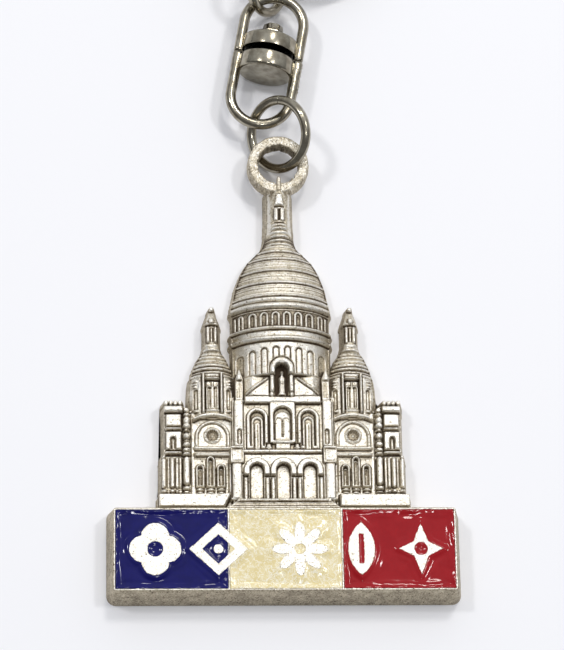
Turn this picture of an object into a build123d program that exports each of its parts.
from build123d import *
from math import atan2, cos, degrees, radians, sin, sqrt
import os

# Souvenir keychain: a cast charm with a domed basilica on a name plate, a swivel and its rings.
# Millimetres. The charm lies on its flat back: +X is to the building's right, +Y runs up the
# building towards the rings, +Z faces the viewer. The origin is on the flat back, under the
# middle of the building's ground line, where the name plate begins.

# ---------------------------------------------------------------- driving dimensions
PLATE_W = 42.0  # name plate, front face
PLATE_H = 10.4
PLATE_T = 4.4
DRAFT = 0.85  # how much wider each side is at the back than at the front
PLATE_CORNER_R = 1.1

RIM = 0.25  # bare metal left round and between the enamels
POCKET_DEPTH = 0.7
ENAMEL_DROP = 0.1  # enamel surface below the metal
DIVIDER_X = 6.95
DIVIDER_W = 0.25

FIELD_Z = 1.9  # level of the bare backing behind the building
ROOT_Z = 1.7  # relief starts a little inside the backing
MAIN_HALF = 6.05  # half width of the drum under the main dome
MAIN_RISE = 3.4  # how far the drum swells out of the backing
TURRET_X = 8.7
TURRET_HALF = 3.0
TURRET_RISE = 1.9
WING_X = 8.8
TOWER_X = 13.55
TOWER_W = 2.2
BEAD_X = 11.95

EYE_Y = 45.54
EYE_HOLE_R = 2.55
EYE_R = 3.85
EYE_Z = 1.84
EYE_T = 2.3
EYE_EDGE_R = 0.3

RING_R = 4.385  # jump rings, to the middle of the wire
RING_WIRE_R = 0.62
RING_SEAM = 1.0  # degrees left open at the butt joint
LOWER_RING_AT = (0.09, 49.58, 4.17)
LOWER_RING_YAW = -23.3
LOWER_RING_TILT = 45.6
UPPER_RING_AT = (-1.17, 71.42, 4.34)
UPPER_RING_YAW = 12.0
UPPER_RING_TILT = -57.3

SWIVEL_AT = (-1.5, 58.15, 3.55)  # middle of the lower disc's outer face
SWIVEL_YAW = 10.5  # degrees the swivel's axis leans from +Y towards +X
BOW_WIRE_R = 0.68
BOW_HALF = 3.865  # leg centre from the axis
BOW_LOWER_REACH = 6.985  # wire centre of the lower bend, before the lower disc
BOW_UPPER_REACH = 10.985
DISC_R = 3.55
LOWER_DISC_T = 2.1
DISC_GAP = 0.9
UPPER_DISC_T = 1.95
LEG_GAP = 0.25
RIVET_R = 0.9
RIVET_CLEARANCE = 0.05
RIVET_COLLAR_R = 1.7
RIVET_HEAD_R = 1.65
RIVET_HEAD_T = 2.0
RIVET_DEPTH = 1.3  # how far the shank goes into the lower disc
HEAD_SIDES = 8

KEY_RING_R = 11.4
KEY_RING_W = 1.9
KEY_RING_TURN_T = 1.0
KEY_RING_TURN_GAP = 0.06
KEY_RING_JOGGLE = 9.0  # degrees each side of the crossover
KEY_RING_YAW = 20.0  # direction of its centre from the upper ring's
KEY_RING_LIFT = 5.0  # its near side rests on the upper ring's wire
KEY_RING_AWAY = 12.2
TABLE_CLEARANCE = 0.02


# ---------------------------------------------------------------- outline helpers
def block(x, y, width, height):
    """A rectangle standing on y, centred on x."""
    with Locations((x, y + height / 2)):
        Rectangle(width, height)


def arched(x, y, width, height):
    """A round-headed opening standing on y, with its full height."""
    spring = height - width / 2
    block(x, y, width, spring)
    with Locations((x, y + spring)):
        Circle(width / 2)


def swell(offset, half, rise):
    """Height of a circular swelling of the given half width at a sideways offset."""
    radius = (half**2 + rise**2) / (2 * rise)
    return sqrt(radius**2 - offset**2) - (radius - rise)


def course(x, low, high, rise_share):
    """One bulging course: low and high are (y, half width); it swells in proportion."""
    sections = []
    for y, half in (low, high):
        with BuildSketch(Plane.XZ.offset(-y)) as section:
            with BuildLine():
                ThreePointArc((x - half, ROOT_Z), (x, ROOT_Z + half * rise_share), (x + half, ROOT_Z))
                Line((x + half, ROOT_Z), (x - half, ROOT_Z))
            make_face()
        sections.append(section.sketch)
    loft(sections=sections, ruled=True)


def courses(x, rings, rise_share, lip=0.12):
    """A stack of courses, each one a lip wider at its foot than the top of the one below."""
    for low, high in zip(rings, rings[1:]):
        course(x, (low[0], low[1] + lip), high, rise_share)


def tapered_spike(x, low, high, rise_share):
    """A pointed cap from a foot section to a near point."""
    course(x, low, high, rise_share)


def ornaments():
    """Five raised motifs for the name plate: quatrefoil, lozenge, rosette, leaf and star."""
    middle = -PLATE_H / 2
    with Locations((-15.9, middle)):
        with Locations((-1.5, 0), (1.5, 0), (0, -1.6), (0, 1.6)):
            Circle(1.75)
        Circle(0.9, mode=Mode.SUBTRACT)
    with Locations((-8.2, middle)):
        Polygon((-3.7, 0), (0, 3.4), (3.7, 0), (0, -3.4))
        Polygon((-1.9, 0), (0, 1.75), (1.9, 0), (0, -1.75), mode=Mode.SUBTRACT)
        Circle(0.65)
    with Locations((1.75, middle)):
        with PolarLocations(2.05, 8):
            Ellipse(1.45, 0.72)
        Circle(1.5)
        Circle(0.6, mode=Mode.SUBTRACT)
    with Locations((9.3, middle)):
        with BuildLine(mode=Mode.PRIVATE) as leaf:
            ThreePointArc((0, -3.4), (1.7, 0), (0, 3.4))
            ThreePointArc((0, 3.4), (-1.7, 0), (0, -3.4))
        add(make_face(leaf.edges(), mode=Mode.PRIVATE))
        Rectangle(0.5, 3.6, mode=Mode.SUBTRACT)
    with Locations((16.6, middle)):
        Polygon(*star_points(4, 2.85, 3.4, 1.35))
        Circle(0.75, mode=Mode.SUBTRACT)


def star_points(count, reach_x, reach_y, waist):
    """Corners of a pointed star, its points on the axes and its waists between them."""
    corners = []
    for step in range(2 * count):
        angle = radians(180 / count * step)
        outer = step % 2 == 0
        corners.append(
            (
                cos(angle) * (reach_x if outer else waist),
                sin(angle) * (reach_y if outer else waist),
            )
        )
    return corners


def pocket(x_low, x_high):
    """One enamel pocket's rectangle."""
    height = PLATE_H - 2 * RIM
    block((x_low + x_high) / 2, RIM - PLATE_H, x_high - x_low, height)


EDGE_X = PLATE_W / 2 - RIM
POCKETS = {
    "enamel_blue": (-EDGE_X, -DIVIDER_X - DIVIDER_W / 2),
    "enamel_cream": (-DIVIDER_X + DIVIDER_W / 2, DIVIDER_X - DIVIDER_W / 2),
    "enamel_red": (DIVIDER_X + DIVIDER_W / 2, EDGE_X),
}
SIDES = (-1, 1)

# ---------------------------------------------------------------- charm casting
with BuildPart() as charm_casting:
    # Name plate, wider at the back than at the front.
    with BuildSketch():
        with Locations((0, -PLATE_H / 2)):
            RectangleRounded(PLATE_W + 2 * DRAFT, PLATE_H + 2 * DRAFT, PLATE_CORNER_R)
    extrude(amount=PLATE_T, taper=degrees(atan2(DRAFT, PLATE_T)))

    # Backing: the building's silhouette, one half drawn and mirrored.
    with BuildSketch():
        with BuildLine():
            Polyline(
                (0, -0.5),
                (16.1, -0.5),
                (16.1, 2.4),
                (15.3, 2.8),
                (15.3, 14.5),
                (12.3, 14.5),
                (12.3, 13.5),
                (11.95, 14.5),
                (11.7, 17),
                (10.9, 19.3),
                (9.7, 21.3),
                (9.6, 24.1),
                (8.85, 26.6),
                (8.55, 26.6),
                (7.8, 24.1),
                (7.7, 21.3),
                (6.9, 20.3),
                (6.3, 20.3),
                (6.25, 25.2),
            )
            Spline((6.25, 25.2), (5.6, 29.3), (4.25, 32.5), (2.05, 34.75))
            Polyline((2.05, 34.75), (1.6, 36.2), (1.5, 42.5), (0, 42.5), (0, -0.5))
        make_face()
        mirror(about=Plane.YZ)
    extrude(amount=FIELD_Z)

    # Main drum, its cornices and the ringed dome.
    course(0, (14, MAIN_HALF), (21.2, MAIN_HALF), MAIN_RISE / MAIN_HALF)
    course(0, (20.9, MAIN_HALF + 0.25), (21.6, MAIN_HALF + 0.25), MAIN_RISE / MAIN_HALF)
    course(0, (21.6, MAIN_HALF - 0.1), (24.6, MAIN_HALF - 0.1), MAIN_RISE / MAIN_HALF)
    course(0, (22.5, MAIN_HALF + 0.15), (22.9, MAIN_HALF + 0.15), MAIN_RISE / MAIN_HALF)
    course(0, (24.5, MAIN_HALF + 0.2), (25.5, MAIN_HALF + 0.2), MAIN_RISE / MAIN_HALF)
    DOME = [
        (25.5, 6.0),
        (26.6, 5.9),
        (27.5, 5.78),
        (28.4, 5.62),
        (29.3, 5.4),
        (30.2, 5.08),
        (31.0, 4.7),
        (31.9, 4.2),
        (32.8, 3.6),
        (33.6, 2.9),
        (34.3, 2.1),
    ]
    courses(0, DOME, MAIN_RISE / MAIN_HALF)

    # Drum windows: round-headed, sunk the same depth into the swelling everywhere.
    for index in range(8):
        x = -5.15 + index * 1.457
        floor = ROOT_Z + swell(x, MAIN_HALF, MAIN_RISE) - 0.5
        with BuildSketch(Plane.XY.offset(floor)):
            arched(x, 17.0, 0.8, 3.4)
        extrude(amount=MAIN_RISE, mode=Mode.SUBTRACT)
        with BuildSketch(Plane.XY.offset(floor + 0.1)):
            arched(x, 23.0, 0.8, 1.4)
        extrude(amount=MAIN_RISE, mode=Mode.SUBTRACT)

    # Neck, lantern and spire up to the eye.
    course(0, (34.2, 1.75), (34.8, 1.6), 1.25)
    course(0, (34.8, 1.35), (35.9, 1.0), 1.8)
    course(0, (36.1, 1.05), (37.3, 1.0), 1.9)
    with BuildSketch(Plane.XY.offset(ROOT_Z)):
        block(0, 37.3, 1.65, 2.7)
    extrude(amount=2.3)
    with BuildSketch(Plane.XY.offset(ROOT_Z + 1.8)):
        arched(0, 37.8, 0.35, 1.9)
    extrude(amount=1, mode=Mode.SUBTRACT)
    tapered_spike(0, (40.0, 0.95), (43.0, 0.15), 2.3)

    # Eye: a flat ring clear of the table, so the jump ring's wire passes under it.
    with BuildSketch(Plane.XY.offset(EYE_Z)):
        with Locations((0, EYE_Y)):
            Circle(EYE_R)
        block(0, 41.5, 3.0, 1.2)
        with Locations((0, EYE_Y)):
            Circle(EYE_HOLE_R, mode=Mode.SUBTRACT)
    extrude(amount=EYE_T)
    rims = charm_casting.edges().filter_by(GeomType.CIRCLE).filter_by(lambda e: e.radius == EYE_HOLE_R)
    fillet(rims, EYE_EDGE_R)
    with BuildSketch(Plane.XY.offset(EYE_Z + 0.9)):
        block(0, 42.4, 0.42, 1.8)
    extrude(amount=0.9)

    for side in SIDES:
        # Turret: drum, ringed dome, shaft and pointed cap.
        x = side * TURRET_X
        turret_share = TURRET_RISE / TURRET_HALF
        course(x, (12.2, TURRET_HALF), (17.3, TURRET_HALF), turret_share)
        courses(x, [(17.3, 2.6), (18.3, 2.45), (18.9, 2.2), (19.9, 1.75), (20.8, 1.15)], turret_share)
        course(x, (20.8, 0.95), (21.7, 0.75), 1.9)
        course(x, (21.7, 0.7), (24.1, 0.7), 2.1)
        tapered_spike(x, (24.1, 0.8), (26.5, 0.12), 1.9)

    # Relief masses, lowest first.
    with BuildSketch(Plane.XY.offset(ROOT_Z)):
        for side in SIDES:
            block(side * WING_X, 0, 5.2, 12.4)
    extrude(amount=0.9)
    with BuildSketch(Plane.XY.offset(ROOT_Z)):
        for side in SIDES:
            block(side * TOWER_X, 2.2, TOWER_W, 11.3)
            for step in range(4):
                block(side * (TOWER_X + (step - 1.5) * 0.62), 13.4, 0.38, 1.0)
    extrude(amount=1.5)
    with BuildSketch(Plane.XY.offset(ROOT_Z)):
        block(0, 0.5, 12.2, 14)
    extrude(amount=1.6)

    # Main front: piers, ledges, portal surrounds, window surrounds, gable and niche.
    with BuildSketch(Plane.XY.offset(ROOT_Z)):
        for side in SIDES:
            block(side * 5.5, 7.6, 1.2, 6.2)
            block(side * 5.75, 1.2, 1.15, 4.7)
            block(side * 5.4, 14.0, 1.0, 2.5)
            for x in (1.45, 1.85, 4.75):
                block(side * x, 1.2, 0.28, 3.2)
            arched(side * 3.25, 1.2, 3.0, 5.2)
            arched(side * 3.2, 7.6, 2.65, 5.4)
        arched(0, 1.2, 3.0, 5.2)
        arched(0, 7.6, 3.2, 6.1)
        arched(-0.1, 14.4, 2.95, 5.0)
        Polygon((-4.8, 14.5), (4.8, 14.5), (1.2, 17.2), (-1.2, 17.2), align=None)
    extrude(amount=2.6)
    with BuildSketch(Plane.XY.offset(ROOT_Z)):
        block(0, 13.55, 10.2, 0.95)
        block(0, 7.0, 10.2, 0.55)
        for side in SIDES:
            block(side * 5.75, 6.0, 1.35, 1.8)
    extrude(amount=2.9)
    with BuildSketch(Plane.XY.offset(ROOT_Z + 1.2)):
        for x in (-3.3, 0, 3.3):
            arched(x, 1.3, 1.65, 4.5)
        for x in (-3.2, 0, 3.2):
            arched(x, 8.2, 1.8, 4.1)
    extrude(amount=2, mode=Mode.SUBTRACT)
    with BuildSketch(Plane.XY.offset(ROOT_Z + 1.6)):
        arched(-0.1, 14.9, 1.6, 3.6)
    extrude(amount=3, mode=Mode.SUBTRACT)
    with BuildSketch(Plane.XY.offset(ROOT_Z + 1.5)):
        block(-0.1, 14.9, 0.9, 0.5)
        block(-0.1, 15.4, 0.6, 2.0)
        with Locations((-0.1, 17.6)):
            Circle(0.27)
    extrude(amount=0.9)

    # Steps in front of the portals, and the side plinths.
    for width, foot, depth in ((14.0, 0, 3.2), (12.8, 0.42, 3.0), (11.2, 0.84, 2.8)):
        with BuildSketch(Plane.XY.offset(ROOT_Z)):
            block(0, foot, width, 0.42)
        extrude(amount=depth)
    with BuildSketch(Plane.XY.offset(ROOT_Z)):
        for side in SIDES:
            block(side * 11.2, 0, 8.8, 2.1)
    extrude(amount=1.9)

    # Wings, bead columns and corner towers in low relief.
    with BuildSketch(Plane.XY.offset(ROOT_Z)):
        for side in SIDES:
            block(side * WING_X, 11.7, 5.4, 0.65)
            block(side * WING_X, 7.95, 5.0, 0.25)
            block(side * WING_X, 7.0, 5.0, 0.35)
            block(side * TOWER_X, 12.7, TOWER_W + 0.1, 0.7)
            block(side * TOWER_X, 10.4, TOWER_W + 0.1, 0.3)
            block(side * TOWER_X, 7.3, TOWER_W + 0.1, 0.35)
            block(side * TOWER_X, 2.2, TOWER_W + 0.2, 0.5)
            for step in range(4):
                block(side * (TOWER_X + (step - 1.5) * 0.58), 2.7, 0.36, 4.3)
            with Locations((side * WING_X, 9.65)):
                Circle(0.95)
            block(side * BEAD_X, 3.2, 0.55, 3.5)
            for step in range(8):
                with Locations((side * BEAD_X, 7.3 + step * 0.8)):
                    Circle(0.42)
    extrude(amount=1.8)
    with BuildSketch(Plane.XY.offset(ROOT_Z + 0.5)):
        for side in SIDES:
            arched(side * WING_X, 3.1, 1.0, 3.7)
            arched(side * (WING_X - 1.25), 3.1, 1.0, 2.7)
            arched(side * (WING_X + 1.25), 3.1, 1.0, 2.7)
            arched(side * TOWER_X, 8.0, 0.7, 1.5)
    extrude(amount=2, mode=Mode.SUBTRACT)

    # Pockets for the enamel, with the ornaments and dividers left standing.
    with BuildSketch(Plane.XY.offset(PLATE_T - POCKET_DEPTH)):
        for span in POCKETS.values():
            pocket(*span)
        with BuildSketch(mode=Mode.SUBTRACT):
            ornaments()
    extrude(amount=2 * POCKET_DEPTH, mode=Mode.SUBTRACT)

charm_casting.part.label = "charm_casting"

# ---------------------------------------------------------------- enamels
enamels = []
for name, span in POCKETS.items():
    with BuildPart() as enamel:
        with BuildSketch(Plane.XY.offset(PLATE_T - POCKET_DEPTH)):
            pocket(*span)
            with BuildSketch(mode=Mode.SUBTRACT):
                ornaments()
        extrude(amount=POCKET_DEPTH - ENAMEL_DROP)
    enamel.part.label = name
    enamels.append(enamel.part)


# ---------------------------------------------------------------- jump rings
def ring_plane(centre, yaw, tilt):
    """Plane of a ring: its x direction stays level, turned by yaw, and the plane leans by tilt."""
    level = Vector(sin(radians(yaw)), cos(radians(yaw)), 0)
    across = Vector(cos(radians(yaw)), -sin(radians(yaw)), 0)
    lean = across * cos(radians(tilt)) + Vector(0, 0, sin(radians(tilt)))
    return Plane(origin=centre, x_dir=level, z_dir=level.cross(lean))


def start_plane(ring, angle):
    """Plane through the ring's axis where its wire starts, an angle round from the x direction."""
    outward = ring.x_dir * cos(radians(angle)) + ring.y_dir * sin(radians(angle))
    return Plane(origin=ring.origin, x_dir=outward, z_dir=ring.z_dir.cross(outward))


LOWER_RING = ring_plane(LOWER_RING_AT, LOWER_RING_YAW, LOWER_RING_TILT)
UPPER_RING = ring_plane(UPPER_RING_AT, UPPER_RING_YAW, UPPER_RING_TILT)

jump_rings = []
for name, ring, seam_angle in (
    ("lower_jump_ring", LOWER_RING, 35),
    ("upper_jump_ring", UPPER_RING, 20),
):
    with BuildPart() as jump_ring:
        with BuildSketch(start_plane(ring, seam_angle)):
            with Locations((RING_R, 0)):
                Circle(RING_WIRE_R)
        revolve(axis=Axis(ring.origin, ring.z_dir), revolution_arc=360 - RING_SEAM)
    jump_ring.part.label = name
    jump_rings.append(jump_ring.part)

# ---------------------------------------------------------------- swivel
SWIVEL_AXIS = Vector(sin(radians(SWIVEL_YAW)), cos(radians(SWIVEL_YAW)), 0)
SWIVEL_ACROSS = Vector(cos(radians(SWIVEL_YAW)), -sin(radians(SWIVEL_YAW)), 0)
SWIVEL_FLAT = Plane(origin=SWIVEL_AT, x_dir=SWIVEL_ACROSS, z_dir=(0, 0, 1))
SWIVEL_FACE = Plane(origin=SWIVEL_AT, x_dir=SWIVEL_ACROSS, z_dir=SWIVEL_AXIS)
UPPER_DISC_AT = LOWER_DISC_T + DISC_GAP
LEG_END = LOWER_DISC_T + DISC_GAP / 2

halves = []
for half, reach, leg_end, disc_at, disc_t in (
    ("lower", -BOW_LOWER_REACH, LEG_END - LEG_GAP / 2, 0, LOWER_DISC_T),
    ("upper", BOW_UPPER_REACH, LEG_END + LEG_GAP / 2, UPPER_DISC_AT, UPPER_DISC_T),
):
    bend_start = reach - BOW_HALF if reach > 0 else reach + BOW_HALF
    with BuildPart() as bow:
        with BuildLine(SWIVEL_FLAT) as route:
            Line((-BOW_HALF, leg_end), (-BOW_HALF, bend_start))
            ThreePointArc((-BOW_HALF, bend_start), (0, reach), (BOW_HALF, bend_start))
            Line((BOW_HALF, bend_start), (BOW_HALF, leg_end))
        with BuildSketch(SWIVEL_FACE.offset(leg_end)):
            with Locations((-BOW_HALF, 0)):
                Circle(BOW_WIRE_R)
        sweep(path=route.wires()[0])
    bow.part.label = f"swivel_{half}_bow"

    with BuildPart() as disc:
        with BuildSketch(SWIVEL_FACE.offset(disc_at)):
            Circle(DISC_R)
        extrude(amount=disc_t)
        fillet(disc.edges().filter_by(GeomType.CIRCLE), 0.25)
        with BuildSketch(SWIVEL_FACE.offset(disc_at - 1)):
            with Locations((-BOW_HALF, 0), (BOW_HALF, 0)):
                Circle(BOW_WIRE_R)
        extrude(amount=disc_t + 2, mode=Mode.SUBTRACT)
        bore_from = LOWER_DISC_T - RIVET_DEPTH if half == "lower" else disc_at - 1
        bore_r = RIVET_R if half == "lower" else RIVET_R + RIVET_CLEARANCE
        with BuildSketch(SWIVEL_FACE.offset(bore_from)):
            Circle(bore_r)
        extrude(amount=disc_t + 2, mode=Mode.SUBTRACT)
    disc.part.label = f"swivel_{half}_disc"
    halves += [bow.part, disc.part]

with BuildPart() as swivel_rivet:
    head_at = UPPER_DISC_AT + UPPER_DISC_T + RIVET_CLEARANCE
    with BuildSketch(SWIVEL_FACE.offset(LOWER_DISC_T - RIVET_DEPTH)):
        Circle(RIVET_R)
    extrude(amount=head_at - LOWER_DISC_T + RIVET_DEPTH)
    with BuildSketch(SWIVEL_FACE.offset(LOWER_DISC_T)):
        Circle(RIVET_COLLAR_R)
    extrude(amount=DISC_GAP - RIVET_CLEARANCE)
    with BuildSketch(SWIVEL_FACE.offset(head_at)):
        RegularPolygon(RIVET_HEAD_R, HEAD_SIDES)
    extrude(amount=RIVET_HEAD_T)
    head_top = swivel_rivet.faces().sort_by(Axis(SWIVEL_AT, SWIVEL_AXIS))[-1]
    chamfer(head_top.edges(), 0.4)
swivel_rivet.part.label = "swivel_rivet"

# ---------------------------------------------------------------- split key ring
lift = radians(KEY_RING_LIFT)
turn_pitch = KEY_RING_TURN_T + KEY_RING_TURN_GAP
away = Vector(sin(radians(KEY_RING_YAW)), cos(radians(KEY_RING_YAW)), 0)
sideways = Vector(away.Y, -away.X, 0)
rim_drop = (KEY_RING_R + KEY_RING_W / 2) * sin(lift) + (turn_pitch + KEY_RING_TURN_T) / 2 * cos(lift)
key_ring_centre = Vector(UPPER_RING_AT[0], UPPER_RING_AT[1], 0) + away * KEY_RING_AWAY
key_ring_centre.Z = TABLE_CLEARANCE + rim_drop
slope = away * cos(lift) - Vector(0, 0, sin(lift))
KEY_RING = Plane(origin=key_ring_centre, x_dir=sideways, z_dir=sideways.cross(slope))


def key_ring_section(angle, height):
    """The flat wire's section, an angle round the ring and a height along its axis."""
    with BuildSketch(start_plane(KEY_RING, angle)) as section:
        with Locations((KEY_RING_R, height)):
            RectangleRounded(KEY_RING_W, KEY_RING_TURN_T, 0.3)
    return section.sketch


CROSSOVER = 100  # degrees from the ring's sideways direction
turn_arc = 360 - 2 * KEY_RING_JOGGLE
with BuildPart() as split_key_ring:
    for height in (-turn_pitch / 2, turn_pitch / 2):
        section = key_ring_section(CROSSOVER + KEY_RING_JOGGLE, height)
        revolve(section, axis=Axis(KEY_RING.origin, KEY_RING.z_dir), revolution_arc=turn_arc)
    loft(
        sections=[
            key_ring_section(CROSSOVER - KEY_RING_JOGGLE, -turn_pitch / 2),
            key_ring_section(CROSSOVER, 0),
            key_ring_section(CROSSOVER + KEY_RING_JOGGLE, turn_pitch / 2),
        ],
        ruled=True,
    )
split_key_ring.part.label = "split_key_ring"

# ---------------------------------------------------------------- export
os.makedirs("parts", exist_ok=True)
for piece in [
    charm_casting.part,
    *enamels,
    *jump_rings,
    *halves,
    swivel_rivet.part,
    split_key_ring.part,
]:
    export_step(piece, f"parts/{piece.label}.step")
